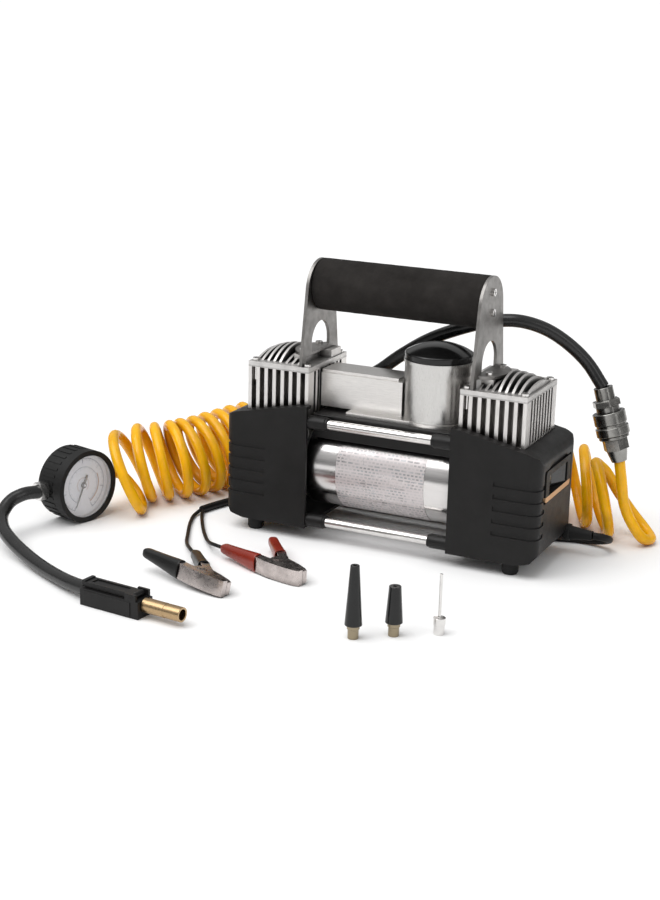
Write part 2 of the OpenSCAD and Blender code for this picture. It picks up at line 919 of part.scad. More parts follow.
// one arm in two straight pieces, its jaw on the line y = 0
module jaw_plan() {
  polygon([[0, -0.15], [-19, -0.15], [-22, -1.5], [-26, -1.5], [-34, -3], [-37, -9.8],
    [-30, -10.2], [-14, -8.4], [-4, -6.2], [0, -4.2]]);
}

module handle_plan() {
  polygon([[-27, -2], [-38, -3], [-83, -3.6], [-83, -8.4], [-40, -9.9], [-30, -10.2]]);
}

module jaw_hollow() {
  polygon([[-2.5, 2], [-2.5, -4.6], [-14, -7.3], [-30, -9.2], [-38, -8.9], [-38, 8], [-16, 8]]);
}

module handle_hollow() {
  polygon([[-22, 8], [-24, -9.2], [-30, -9.2], [-40, -8.9], [-90, -7.3], [-90, 8]]);
}

module about_pivot(a) {
  translate([piv_x, 0]) rotate(a) translate([-piv_x, 0]) children();
}

module slab(w) {
  translate([0, 0, -w]) linear_extrude(height = 2 * w) children();
}

// w is half the channel's width, bend turns the handle away from the jaw's line
module arm(w, bend) {
  difference() {
    union() {
      slab(w) jaw_plan();
      slab(w) translate([piv_x, 0]) circle(r = 4.6);
      intersection() {
        slab(w) about_pivot(bend) handle_plan();
        about_pivot3(bend) handle_taper(w);
      }
    }
    slab(w - sheet_t) jaw_hollow();
    slab(w - sheet_t) about_pivot(bend) handle_hollow();
    translate([piv_x, 0, -20]) cylinder(r = 2.05, h = 40);
  }
}

module about_pivot3(a) {
  translate([piv_x, 0, 0]) rotate([0, 0, a]) translate([-piv_x, 0, 0]) children();
}

module handle_taper(w) {
  translate([0, 20, 0])
    rotate([90, 0, 0])
      linear_extrude(height = 40)
        polygon([[-20, -w], [-48, -w], [-84, -2.4], [-84, 2.4], [-48, w], [-20, w]]);
}

module sleeve(w, r, x0) {
  difference() {
    intersection() {
      slab(20)
        polygon([[x0, -1.6], [-83.4, -2], [-85, -3.4], [-85, -8.6], [-83.4, -10], [x0, -11.3]]);
      translate([0, 20, 0])
        rotate([90, 0, 0])
          linear_extrude(height = 40)
            polygon([[x0, -w - 1.1], [-48, -w - 1.1], [-83, -3.8], [-85, -2.8],
              [-85, 2.8], [-83, 3.8], [-48, w + 1.1], [x0, w + 1.1]]);
    }
    intersection() {
      slab(w + 0.02)
        polygon([[-40, -2.96], [-83, -3.54], [-83, -8.46], [-40, -9.96]]);
      translate([0, 20, 0])
        rotate([90, 0, 0])
          linear_extrude(height = 40)
            polygon([[-40, -w - 0.02], [-48, -w - 0.02], [-84, -2.42], [-84, 2.42],
              [-48, w + 0.02], [-40, w + 0.02]]);
    }
    translate([-90, -6, 0]) xcyl(r, 0, 10);
  }
}

module at_black() {
  translate(black_c) rotate(black_rot) children();
}

module at_red() {
  translate(red_c) rotate(red_rot) children();
}

module clamp_base() {
  arm(base_w, 0);
  translate([piv_x, 0, -base_w - 0.6]) cylinder(r = 2, h = 2 * base_w + 1.2);
  for (k = [-1, 1]) translate([piv_x, 0, k * (base_w + 0.3) - 0.3]) cylinder(r = 3, h = 0.6);
}

module clamp_bases() {
  color([0.7, 0.7, 0.72]) {
    at_black() clamp_base();
    at_red() clamp_base();
  }
}

module jaw_arm() {
  mirror([0, 1, 0]) arm(jaw_w, splay);
}

module black_jaw() {
  color([0.7, 0.7, 0.72]) at_black() jaw_arm();
}

module red_jaw() {
  color([0.7, 0.7, 0.72]) at_red() jaw_arm();
}

module black_sleeve() {
  color([0.06, 0.06, 0.06]) at_black() sleeve(base_w, 1, -43);
}

module red_sleeve() {
  color([0.7, 0.12, 0.08]) at_red() sleeve(base_w, wire_d / 2, -43);
}

module black_jaw_sleeve() {
  color([0.06, 0.06, 0.06])
    at_black() mirror([0, 1, 0]) about_pivot3(splay) sleeve(jaw_w, wire_d / 2, -48);
}

module red_jaw_sleeve() {
  color([0.7, 0.12, 0.08])
    at_red() mirror([0, 1, 0]) about_pivot3(splay) sleeve(jaw_w, 1, -48);
}

module coil_spring_solid() {
  translate([piv_x, 0, -3.4])
    difference() {
      cylinder(r = 3.4, h = 6.8);
      translate([0, 0, -1]) cylinder(r = 2.2, h = 10);
    }
}

module clamp_springs() {
  color([0.6, 0.6, 0.62]) {
    at_black() coil_spring_solid();
    at_red() coil_spring_solid();
  }
}

// ---------- loose nozzles ----------
module nozzle(h, r0, r1) {
  difference() {
    union() {
      cylinder(r = 3.95, h = 7.1);
      translate([0, 0, 7]) cylinder(r = 4.6, h = 3.1);
      translate([0, 0, 10]) cylinder(r1 = r0, r2 = r1, h = h - 10);
    }
    translate([0, 0, -1]) cylinder(r = 1.3, h = h + 2);
  }
}

module adaptor_long() {
  color([0.06, 0.06, 0.06]) translate([59, -210, 0]) nozzle(54, 6.3, 3.2);
}

module adaptor_short() {
  color([0.06, 0.06, 0.06]) translate([82, -192, 0]) nozzle(37, 6.3, 4.3);
}

module adaptor_needle() {
  color([0.75, 0.75, 0.77])
    translate([109, -174, 0])
      difference() {
        union() {
          cylinder(r = 3.95, h = 7.1);
          translate([0, 0, 7]) cylinder(r = 4.4, h = 5.5);
          translate([0, 0, 12]) cylinder(r = 1.15, h = 33);
        }
        translate([0, 0, -1]) cylinder(r = 0.5, h = 44);
      }
}

cover_left();
cover_right();
feet();
motor_can();
motor_label();
magnets();
brush_gear();
armature();
crankshaft();
blocks();
liners();
piston_left();
piston_right();
valve_plates();
heads();
screws();
tie_rods();
rod_collars();
deck();
manifold();
tank();
tank_cap();
outlet_elbow();
brackets();
grip_core();
foam_grip();
switch_bezel();
rocker();
cable_gland();
delivery_hose();
coupler_socket();
coupler_sleeve();
coupler_plug();
recoil_feed();
recoil_coil();
recoil_tail();
gauge_body();
gauge_boot();
gauge_dial();
gauge_needle();
gauge_lens();
gauge_hose();
chuck_body();
chuck_lever();
chuck_barrel();
power_lead();
power_hank();
power_tail();
clamp_wires();
clamp_bases();
clamp_springs();
black_jaw();
red_jaw();
black_sleeve();
red_sleeve();
black_jaw_sleeve();
red_jaw_sleeve();
adaptor_long();
adaptor_short();
adaptor_needle();
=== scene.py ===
import bpy
import math
from mathutils import Euler, Matrix, Vector


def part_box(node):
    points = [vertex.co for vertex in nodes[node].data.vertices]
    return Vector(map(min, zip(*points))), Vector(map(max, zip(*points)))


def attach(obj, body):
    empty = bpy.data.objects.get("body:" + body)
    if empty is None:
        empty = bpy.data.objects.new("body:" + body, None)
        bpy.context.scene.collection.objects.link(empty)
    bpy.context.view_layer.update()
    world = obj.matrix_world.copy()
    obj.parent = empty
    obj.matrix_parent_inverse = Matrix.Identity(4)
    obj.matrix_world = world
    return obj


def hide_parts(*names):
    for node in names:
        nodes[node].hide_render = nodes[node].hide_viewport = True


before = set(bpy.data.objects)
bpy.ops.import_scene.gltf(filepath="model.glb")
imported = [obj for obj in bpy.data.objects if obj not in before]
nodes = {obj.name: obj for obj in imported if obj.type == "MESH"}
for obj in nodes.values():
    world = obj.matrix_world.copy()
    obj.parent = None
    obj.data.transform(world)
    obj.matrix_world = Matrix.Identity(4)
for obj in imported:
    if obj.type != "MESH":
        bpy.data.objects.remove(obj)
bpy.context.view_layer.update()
scene = bpy.context.scene
MM = 0.001
TO_METRES = Matrix.Scale(MM, 4)


def add(name, data):
    """an object of that data, in the scene"""
    o = bpy.data.objects.new(name, data)
    scene.collection.objects.link(o)
    return o


# ---------- camera ----------
CAMERA_AT = (0.5007, -1.1992, 0.4528)
CAMERA_BACK = (0.4069, -0.8693, 0.2807)
CAMERA_UP = (-0.1423, 0.2432, 0.9595)
SENSOR_WIDTH = 36
FOCAL_LENGTH = 66.966


def add_camera():
    data = bpy.data.cameras.new("camera")
    data.sensor_width = SENSOR_WIDTH
    data.lens = FOCAL_LENGTH
    data.clip_end = 100
    back = Vector(CAMERA_BACK).normalized()
    right = Vector(CAMERA_UP).cross(back).normalized()
    up = back.cross(right)
    cam = add("camera", data)
    cam.matrix_world = Matrix.Translation(CAMERA_AT) @ Matrix((right, up, back)).transposed().to_4x4()
    scene.camera = cam


add_camera()

# ---------- node materials ----------
EVEN = (1, 1, 1)
# noise at these values gives the two ends of what varies
NOISE_SPAN = (0.3, 0.7)
LEAST_ROUGHNESS = 0.02


class Mat:
    """A principled material with helpers for procedural detail in object space."""

    def __init__(self, name, color, rough=0.5, metallic=0.0, spec=0.5, coat=0.0):
        self.material = bpy.data.materials.new(name)
        self.material.use_nodes = True
        self.tree = self.material.node_tree
        self.shader = next(n for n in self.tree.nodes if n.type == "BSDF_PRINCIPLED")
        self.color = color
        self.rough = rough
        self.painted = None
        self.put("Base Color", (*color, 1))
        self.put("Roughness", rough)
        self.put("Metallic", metallic)
        self.put("Specular IOR Level", spec)
        self.put("Coat Weight", coat)

    def put(self, socket, value):
        self.shader.inputs[socket].default_value = value

    def node(self, kind, **props):
        n = self.tree.nodes.new(kind)
        for key, value in props.items():
            setattr(n, key, value)
        return n

    def link(self, a, b):
        self.tree.links.new(a, b)

    def coords(self, stretch=EVEN):
        tex = self.node("ShaderNodeTexCoord")
        mapping = self.node("ShaderNodeMapping")
        mapping.inputs["Scale"].default_value = stretch
        self.link(tex.outputs["Object"], mapping.inputs["Vector"])
        return mapping.outputs["Vector"]

    def noise(self, scale, stretch=EVEN, detail=4, rough=0.6):
        n = self.node("ShaderNodeTexNoise")
        n.inputs["Scale"].default_value = scale
        n.inputs["Detail"].default_value = detail
        n.inputs["Roughness"].default_value = rough
        self.link(self.coords(stretch), n.inputs["Vector"])
        return n.outputs["Fac"]

    def ramp(self, fac, stops):
        """fac through a ramp of two stops, each a place and a grey level or a colour"""
        n = self.node("ShaderNodeValToRGB")
        for stop, (at, level) in zip(n.color_ramp.elements, stops):
            stop.position = at
            stop.color = (*level, 1) if isinstance(level, tuple) else (level, level, level, 1)
        self.link(fac, n.inputs["Fac"])
        return n.outputs["Color"]

    def mix(self, fac, under, color):
        """the socket under, and a plain colour where fac is 1"""
        n = self.node("ShaderNodeMix", data_type="RGBA")
        self.link(fac, n.inputs["Factor"])
        self.link(under, n.inputs["A"])
        n.inputs["B"].default_value = (*color, 1)
        return n.outputs["Result"]

    def paint(self, out):
        """out becomes the base colour"""
        self.painted = out
        self.link(out, self.shader.inputs["Base Color"])
        return self

    def vary(self, amount=0.15, scale=60, stretch=EVEN):
        """colour variation about the material's own colour"""
        fac = self.noise(scale, stretch)
        lift = 0.01 * amount
        dark = tuple(c * (1 - amount) for c in self.color)
        light = tuple(min(1, c * (1 + amount) + lift) for c in self.color)
        return self.paint(self.ramp(fac, zip(NOISE_SPAN, (dark, light))))

    def roughen(self, amount=0.1, scale=120, stretch=EVEN):
        """roughness variation about the material's own roughness"""
        fac = self.noise(scale, stretch)
        levels = (max(LEAST_ROUGHNESS, self.rough - amount), min(1, self.rough + amount))
        self.link(self.ramp(fac, zip(NOISE_SPAN, levels)), self.shader.inputs["Roughness"])
        return self

    def bump(self, strength=0.1, scale=900, stretch=EVEN, dist=0.0004, detail=3):
        """fine relief, on top of any relief that is there already"""
        n = self.node("ShaderNodeBump")
        n.inputs["Strength"].default_value = strength
        n.inputs["Distance"].default_value = dist
        self.link(self.noise(scale, stretch, detail), n.inputs["Height"])
        normal = self.shader.inputs["Normal"]
        if normal.is_linked:
            self.link(normal.links[0].from_socket, n.inputs["Normal"])
        self.link(n.outputs["Normal"], normal)
        return self

    def xyz(self, vector):
        n = self.node("ShaderNodeSeparateXYZ")
        self.link(vector, n.inputs["Vector"])
        return n.outputs

    def metal_below(self, height, color):
        """bare metal of that colour below a height in metres"""
        n = self.node("ShaderNodeMath", operation="LESS_THAN")
        self.link(self.xyz(self.coords())["Z"], n.inputs[0])
        n.inputs[1].default_value = height
        self.link(n.outputs[0], self.shader.inputs["Metallic"])
        return self.paint(self.mix(n.outputs[0], self.painted, color))


def metal(name, color, rough, brush=EVEN, bump=0.06, var=0.08):
    """metal whose grain is drawn out by the stretch brush"""
    m = Mat(name, color, rough, metallic=1.0)
    m.vary(var, 90, brush)
    m.roughen(0.07, 160, brush)
    return m.bump(bump, 700, brush, dist=0.0003)


def plastic(name, color, rough, bump=0.1, scale=1400, spec=0.5, coat=0.0, var=0.15):
    m = Mat(name, color, rough, spec=spec, coat=coat)
    m.vary(var, 45)
    m.roughen(0.06, 70)
    return m.bump(bump, scale, dist=0.0003)


def painted_crevice_shade(m, dark, dist=0.006, shut=0.25, clear=0.9):
    """painted shade: darken the base colour in gaps and corners, found by ambient occlusion"""
    ao = m.node("ShaderNodeAmbientOcclusion", samples=8)
    ao.inputs["Distance"].default_value = dist
    return m.paint(m.mix(m.ramp(ao.outputs["AO"], [(shut, 1), (clear, 0)]), m.painted, dark))


def switch_trim():
    """black plastic with a bronze strip along its lower edge"""
    strip_top = 0.0638
    m = plastic("bronze_trim", (0.009, 0.0085, 0.008), 0.48, 0.08, 1200, 0.2)
    return m.metal_below(strip_top, (0.66, 0.43, 0.25))


def nozzle_black():
    """glossy black cones on a dull metal foot"""
    foot_top = 0.0098
    m = plastic("nozzle_black", (0.006, 0.006, 0.006), 0.20, 0.04, 600, 0.35, 0.1)
    return m.metal_below(foot_top, (0.30, 0.25, 0.17))


def foam():
    """matt foam: fine grain over a coarser one"""
    m = plastic("foam", (0.020, 0.0178, 0.0165), 0.9, 0.6, 2600, 0.15, 0.0, 0.3)
    return m.bump(0.35, 420, dist=0.0006)


def lens():
    m = Mat("lens", (1, 1, 1), 0.04)
    m.put("Alpha", 0.16)
    return m.roughen(0.02, 40)


def amber_hose():
    """a glossy, faintly translucent hose, with painted shade darkening it between its turns"""
    m = Mat("amber_hose", (0.88, 0.45, 0.003), 0.22, 0.0, 0.3, 0.08)
    m.vary(0.12, 55)
    m.roughen(0.05, 90)
    m.bump(0.05, 300)
    # painted shade, a deep orange-brown, in the gaps between the coil's turns
    painted_crevice_shade(m, (0.52, 0.20, 0.003), 0.010, 0.15, 0.8)
    m.put("Subsurface Weight", 0.2)
    m.put("Subsurface Radius", (1.0, 0.40, 0.05))
    m.put("Subsurface Scale", 0.004)
    m.put("Coat Roughness", 0.08)
    return m


def label_film():
    """pale film with rows of plain grey bars, washed out in patches, and no words"""
    film = (0.66, 0.61, 0.61)
    m = Mat("label_film", film, 0.30, 0.3, 0.5, 0.2)
    across = m.xyz(m.node("ShaderNodeTexCoord").outputs["Object"])
    face = m.node("ShaderNodeCombineXYZ")
    m.link(across["X"], face.inputs["X"])
    m.link(across["Z"], face.inputs["Y"])
    bars = m.node("ShaderNodeTexBrick", offset=0.37, offset_frequency=2, squash=1.7, squash_frequency=3)
    m.link(face.outputs["Vector"], bars.inputs["Vector"])
    bars.inputs["Color1"].default_value = (0.26, 0.25, 0.25, 1)
    bars.inputs["Color2"].default_value = (0.42, 0.43, 0.45, 1)
    bars.inputs["Mortar"].default_value = (*film, 1)
    bars.inputs["Scale"].default_value = 1.0
    bars.inputs["Brick Width"].default_value = 0.0034
    bars.inputs["Row Height"].default_value = 0.0025
    bars.inputs["Mortar Size"].default_value = 0.00075
    bars.inputs["Mortar Smooth"].default_value = 0.3
    wash = m.ramp(m.noise(70, (1, 1, 2.2)), [(0.42, 0.0), (0.56, 0.75)])
    m.paint(m.mix(wash, bars.outputs["Color"], film))
    return m.roughen(0.06, 60)


# painted shade darkens the gaps and corners of the motor can, coupler, clamps, cast parts and fins below
M = {
    "cover": plastic("cover_plastic", (0.0085, 0.0080, 0.0078), 0.44, 0.32, 1500, 0.24),
    "rubber": plastic("black_rubber", (0.008, 0.008, 0.008), 0.55, 0.25, 900, 0.25),
    "chrome": metal("bright_steel", (0.72, 0.705, 0.69), 0.15, bump=0.03),
    "can": painted_crevice_shade(metal("motor_can", (0.71, 0.69, 0.68), 0.19, (1, 40, 40), 0.03),
                   (0.12, 0.12, 0.13), 0.02),
    "dull": metal("dull_steel", (0.46, 0.45, 0.44), 0.34, bump=0.08, var=0.2),
    "coupler": painted_crevice_shade(metal("coupler_steel", (0.28, 0.275, 0.26), 0.22, bump=0.05, var=0.2),
                       (0.05, 0.05, 0.05), 0.008),
    "clamp": painted_crevice_shade(metal("clamp_steel", (0.54, 0.485, 0.465), 0.28, bump=0.14, var=0.22),
                     (0.10, 0.085, 0.08), 0.007),
    "cast": painted_crevice_shade(metal("cast_alloy", (0.67, 0.655, 0.64), 0.44, bump=0.25, var=0.12),
                    (0.06, 0.06, 0.06)),
    "fins": painted_crevice_shade(metal("fin_alloy", (0.74, 0.72, 0.70), 0.36, (20, 20, 1), 0.10, 0.10),
                    (0.17, 0.16, 0.15), 0.008, 0.2, 0.85),
    "brushed": metal("brushed_alloy", (0.60, 0.59, 0.575), 0.26, (50, 50, 1.5), 0.07, 0.08),
    "block": metal("brushed_block", (0.74, 0.72, 0.70), 0.32, (2, 50, 50), 0.10, 0.10),
    "plastic": plastic("black_plastic", (0.009, 0.0085, 0.0085), 0.40, 0.16, 1400, 0.26),
    "gloss": plastic("gloss_black", (0.006, 0.006, 0.006), 0.18, 0.03, 600, 0.35, 0.1),
    "bracket": metal("bracket_steel", (0.27, 0.26, 0.25), 0.42, bump=0.22, var=0.22),
    "bronze": switch_trim(),
    "brass": metal("brass", (0.45, 0.315, 0.175), 0.28, (1, 30, 30), 0.05, 0.12),
    "hose": plastic("black_hose", (0.011, 0.011, 0.011), 0.27, 0.06, 500, 0.4, 0.08),
    "lead": plastic("lead_pvc", (0.006, 0.006, 0.006), 0.46, 0.05, 600, 0.2),
    "red": plastic("red_pvc", (0.235, 0.022, 0.010), 0.30, 0.08, 500, 0.4, 0.12, 0.2),
    "sleeve": plastic("black_pvc", (0.009, 0.009, 0.009), 0.36, 0.08, 500, 0.28, 0.05),
    "magnet": metal("magnet", (0.10, 0.10, 0.11), 0.6),
    "winding": metal("winding", (0.46, 0.24, 0.12), 0.4, (4, 60, 60), 0.2, 0.3),
    "dial": plastic("dial_face", (0.80, 0.81, 0.87), 0.45, 0.02, 400, 0.4, 0.0, 0.03),
    "print": plastic("dial_print", (0.13, 0.17, 0.24), 0.5, 0.01, 400, 0.3),
    "print_red": plastic("dial_print_warm", (0.38, 0.20, 0.11), 0.5, 0.01, 400, 0.3),
    "foam": foam(),
    "lens": lens(),
    "amber": amber_hose(),
    "label": label_film(),
    "nozzle": nozzle_black()}

# ---------- mesh helpers ----------
# angles in degrees
SHARP_OVER = 33
ROUNDED_OVER = 32
FLAT_WITHIN = 0.6


def give(obj, mat, body):
    obj.data.materials.clear()
    obj.data.materials.append(M[mat].material)
    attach(obj, body)
    return obj


def mesh(name, verts, faces, mat, body, stands, sharp):
    """a smooth mesh with edges kept over the angle sharp, in place of the CAD nodes in stands"""
    me = bpy.data.meshes.new(name)
    me.from_pydata([tuple(v) for v in verts], [], faces)
    me.update()
    for face in me.polygons:
        face.use_smooth = True
    me.set_sharp_from_angle(angle=math.radians(sharp))
    o = give(add(name, me), mat, body)
    if stands:
        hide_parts(*stands)
    return o


def shading_group():
    """smooth shading with hard edges kept by angle, whatever normals the mesh came with"""
    g = bpy.data.node_groups.new("shading", "GeometryNodeTree")
    g.interface.new_socket("Geometry", in_out="INPUT", socket_type="NodeSocketGeometry")
    g.interface.new_socket("Geometry", in_out="OUTPUT", socket_type="NodeSocketGeometry")
    node = g.nodes.new
    link = g.links.new
    start = node("NodeGroupInput")
    stop = node("NodeGroupOutput")
    drop = node("GeometryNodeRemoveAttribute")
    drop.inputs["Name"].default_value = "custom_normal"
    faces = node("GeometryNodeSetShadeSmooth")
    faces.domain = "FACE"
    edges = node("GeometryNodeSetShadeSmooth")
    edges.domain = "EDGE"
    edges.inputs["Shade Smooth"].default_value = False
    turn_by = node("GeometryNodeInputMeshEdgeAngle")
    over = node("FunctionNodeCompare")
    over.data_type = "FLOAT"
    over.operation = "GREATER_THAN"
    over.inputs[1].default_value = math.radians(SHARP_OVER)
    link(turn_by.outputs["Unsigned Angle"], over.inputs[0])
    link(over.outputs[0], edges.inputs["Selection"])
    link(start.outputs[0], drop.inputs["Geometry"])
    link(drop.outputs["Geometry"], faces.inputs["Geometry"])
    link(faces.outputs["Geometry"], edges.inputs["Geometry"])
    link(edges.outputs["Geometry"], stop.inputs[0])
    return g


SHADING = shading_group()


def dress(o, width):
    """edges rounded by a width in millimetres and clean shading on a CAD node, by modifiers only"""
    o.modifiers.new("weld", "WELD").merge_threshold = 0.00001
    flat = o.modifiers.new("flat", "DECIMATE")
    flat.decimate_type = "DISSOLVE"
    flat.angle_limit = math.radians(FLAT_WITHIN)
    o.modifiers.new("shading", "NODES").node_group = SHADING
    edge = o.modifiers.new("bevel", "BEVEL")
    edge.width = width * MM
    edge.segments = 2
    edge.limit_method = "ANGLE"
    edge.angle_limit = math.radians(ROUNDED_OVER)
    edge.use_clamp_overlap = True
    edge.miter_outer = "MITER_ARC"
    o.modifiers.new("normals", "WEIGHTED_NORMAL").keep_sharp = True


def placed(points, place):
    return [place @ Vector(p) for p in points]


def circle(n):
    """(cosine, sine) at n even steps round a circle"""
    turns = [2 * math.pi * k / n for k in range(n)]
    return [(math.cos(a), math.sin(a)) for a in turns]


def skin(rings):
    """(verts, faces) of the surface through rings of as many points each"""
    n = len(rings[0])
    verts = [p for ring in rings for p in ring]
    faces = [(j + k, j + (k + 1) % n, j + n + (k + 1) % n, j + n + k)
             for j in range(0, len(verts) - n, n) for k in range(n)]
    return verts, faces


def hermite(t):
    """weights of a stretch's start, its slope there, its end and its slope there"""
    return (2 * t ** 3 - 3 * t * t + 1, t ** 3 - 2 * t * t + t,
            -2 * t ** 3 + 3 * t * t, t ** 3 - t * t)


def spline(pts, step=None, per=None):
    """points of a smooth curve through pts, about a step apart or so many per stretch"""
    p = [Vector(q) for q in pts]
    out = []
    for i in range(len(p) - 1):
        a, b = p[i], p[i + 1]
        d = (b - a).length
        before = p[i - 1] if i else a - (b - a)
        after = p[i + 2] if i + 2 < len(p) else b + (b - a)
        d0 = (a - before).length
        d2 = (after - b).length
        slope_a = ((a - before) / d0 * d + (b - a) / d * d0) / (d0 + d)
        slope_b = ((b - a) / d * d2 + (after - b) / d2 * d) / (d + d2)
        count = per or max(1, round(d / step))
        for k in range(count):
            w = hermite(k / count)
            out.append(a * w[0] + slope_a * (d * w[1]) + b * w[2] + slope_b * (d * w[3]))
    out.append(p[-1])
    return out


def rope(name, pts, d, mat, stands, sides):
    """a round curve of diameter d along pts, in millimetres"""
    cu = bpy.data.curves.new(name, "CURVE")
    cu.dimensions = "3D"
    cu.twist_mode = "MINIMUM"
    cu.bevel_depth = d * MM / 2
    cu.bevel_resolution = sides // 4 + 1
    cu.use_fill_caps = True
    sp = cu.splines.new("BEZIER")
    sp.bezier_points.add(len(pts) - 1)
    sp.resolution_u = 5
    for q, p in zip(sp.bezier_points, pts):
        q.co = Vector(p) * MM
        q.handle_left_type = q.handle_right_type = "AUTO"
    o = give(add(name, cu), mat, "base")
    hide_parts(*stands)
    return o


# ---------- cords ----------
# routes are in millimetres and lie where the CAD solids that they replace lie
delivery = spline([(-44, 24, 124), (-34, 24, 129), (-12, 26, 146), (12, 28, 162), (36, 30, 173),
    (58, 36, 180), (80, 44, 182), (100, 54, 176), (118, 62, 164), (132, 68, 150), (146, 70, 131)], per=3)
hose_a = rope("delivery_hose_v", delivery, 10.6, "hose", ["delivery_hose"], 20)

# recoil hose: the feed down from the coupler, the coil, and the tail up to the gauge
feed = [(164, 70, 72), (167, 70, 55), (170, 71, 37), (177, 74, 20), (187, 79, 6.4), (190, 88, 4.6),
    (184, 98, 7), (170, 103, 19), (155, 103, 37), (145, 98, 54)]
tail = [(-219, -38, 5), (-226, -32, 9), (-235, -29, 16), (-242, -33, 25), (-245.4, -47, 30.5)]
# rows of (turn, x, y): where the turns are highest, where they are lowest, and which way a turn
# leans out on its way down
tops = [(0, 139, 91), (1, 119, 122), (2, 100, 125), (3, 82, 124), (14, -146, 122), (15, -163, 117),
    (16, -180, 108), (17, -193, 98), (18, -197, 82), (19, -200, 66), (20, -204, 50), (21, -207, 34),
    (22, -213, 21), (23, -218, 10), (24, -227, -3), (25, -238, -15), (26, -243, -43)]
lows = [(0.5, 153, 90), (1.5, 128, 106), (2.5, 106, 118), (3.5, 80, 121), (13.5, -134, 121),
    (14.5, -150, 114), (15.5, -166, 107), (16.5, -178, 99), (17.5, -181, 88), (18.5, -184, 74),
    (19.5, -186, 60), (20.5, -188, 46), (21.5, -192, 33), (22.5, -197, 19), (23.5, -204, 6),
    (24.5, -212, -6), (25.5, -221, -18), (26.5, -211, -51)]
fronts = [(0, 0.43, -0.9), (2, 0.3, -0.95), (4, 0, -1), (13, 0, -1), (15, 0.5, -0.86), (17, 0.8, -0.6),
    (21, 0.86, -0.51), (23, 0.76, -0.65), (24, 0.62, -0.78), (25, 0.54, -0.84), (27, 0.52, -0.855)]
TURNS = 26.5
PER_TURN = 16
# how far a turn leans out, and its centre line's height at the top and at the bottom
LEAN = 28.4
TOP = 61.4
LOW = 4.6


def along(table, s):
    """smooth (x, y) of a table of (turn, x, y) at turn s"""
    i = max(0, min(len(table) - 2, sum(1 for row in table if row[0] <= s) - 1))
    a, b = table[i], table[i + 1]
    before = table[i - 1] if i else a
    after = table[i + 2] if i + 2 < len(table) else b
    width = b[0] - a[0]
    w = hermite((s - a[0]) / width)
    out = []
    for k in (1, 2):
        slope_a = (b[k] - before[k]) / (b[0] - before[0]) * width
        slope_b = (after[k] - a[k]) / (after[0] - a[0]) * width
        out.append(a[k] * w[0] + slope_a * w[1] + b[k] * w[2] + slope_b * w[3])
    return out


def turn(s):
    """the coil's centre line at turn s, counted from the coupler's end"""
    top_x, top_y = along(tops, s)
    low_x, low_y = along(lows, max(lows[0][0], s))
    lean_x, lean_y = along(fronts, s)
    lean = LEAN / math.hypot(lean_x, lean_y) * math.sin(2 * math.pi * s)
    lift = math.cos(2 * math.pi * s)
    return Vector(((top_x + low_x) / 2 + lift * (top_x - low_x) / 2 + lean * lean_x,
                   (top_y + low_y) / 2 + lift * (top_y - low_y) / 2 + lean * lean_y,
                   (TOP + LOW) / 2 + lift * (TOP - LOW) / 2))


coil = [turn(k / PER_TURN) for k in range(int(TURNS * PER_TURN) + 1)]
head = spline(feed + [coil[0]], step=7)
end = spline([coil[-1]] + tail, step=7)
recoil = head[:-1] + coil + end[1:]
hose_b = rope("recoil_hose", recoil, 9, "amber", ["recoil_feed", "recoil_coil", "recoil_tail"],
              16)

gauge_line = spline([(-265.2, -122, 30.5), (-271, -133, 31), (-276, -143, 28), (-275, -158, 21),
    (-264, -173, 15.5), (-247, -186, 12), (-227, -197.5, 8.6), (-183, -221, 6.4), (-163, -231, 7.4),
    (-140, -240.5, 9.2)], per=3)
hose_c = rope("gauge_hose_v", gauge_line, 11, "hose", ["gauge_hose"], 20)

# power lead: out of the gland, a flat hank behind the body, and on to the fork
lead_in = [(156, 36, 17), (162, 38, 16.4), (166, 46, 13), (163, 56, 8.4), (152, 61, 4.6),
    (138, 62, 3.3), (118, 57, 3.3), (94, 53.1, 3.3)]
lead_out = [(-94, 53.1, 35), (-110, 54, 27), (-126, 56, 14), (-140, 54, 5.4), (-149, 45, 3.3),
    (-153, 30, 3.3), (-157, 14, 3.3), (-165, -12, 3.3), (-168, -24, 3.3)]
HANK_TURNS = 5.4
PER_LOOP = 48
HANK_RUN = 158
HANK_R = 12.9
HANK_Y = 66
HANK_Z = 3.3
# from one loop to the next
HANK_RISE = 6.24
# the runs aren't quite straight
SWAY = 0.1
SWAY_PERIOD = 37


def hank():
    """flat loops with round ends, each one on the one before"""
    half_loop = HANK_RUN + math.pi * HANK_R
    out = []
    for k in range(int(HANK_TURNS * PER_LOOP) + 1):
        d = k * 2 * half_loop / PER_LOOP
        halves, q = divmod(d, half_loop)
        side = -1 if halves % 2 else 1
        if q < HANK_RUN:
            x, y = HANK_RUN / 2 - q, -HANK_R
        else:
            a = (q - HANK_RUN) / HANK_R
            x, y = -HANK_RUN / 2 - HANK_R * math.sin(a), -HANK_R * math.cos(a)
        sway = SWAY * math.sin(d / SWAY_PERIOD)
        out.append(Vector((side * x, HANK_Y + side * y + sway, HANK_Z + HANK_RISE * d / (2 * half_loop))))
    return out


loops = hank()
power = spline(lead_in, step=8) + loops + spline([loops[-1]] + lead_out, step=8)[1:]
lead = rope("power_lead_v", power, 6.2, "lead", ["power_lead", "power_hank", "power_tail"], 12)

wires = {
    "black": [(-168.5, -24, 3.2), (-168, -36, 2), (-162, -53, 2), (-149, -80, 2), (-136, -104, 3.2),
              (-125.5, -118, 5.4), (-115.3, -129, 6.4)],
    "red": [(-167, -24, 3.2), (-161, -36, 2), (-153, -49.5, 2), (-137, -74, 2.2), (-122, -94, 4),
            (-109, -108, 8), (-98.4, -112.5, 8.6)]}
for side, pts in wires.items():
    line = spline(pts, step=6)
    w = rope(side + "_wire", line, 3, "lead", ["clamp_wires"], 12)

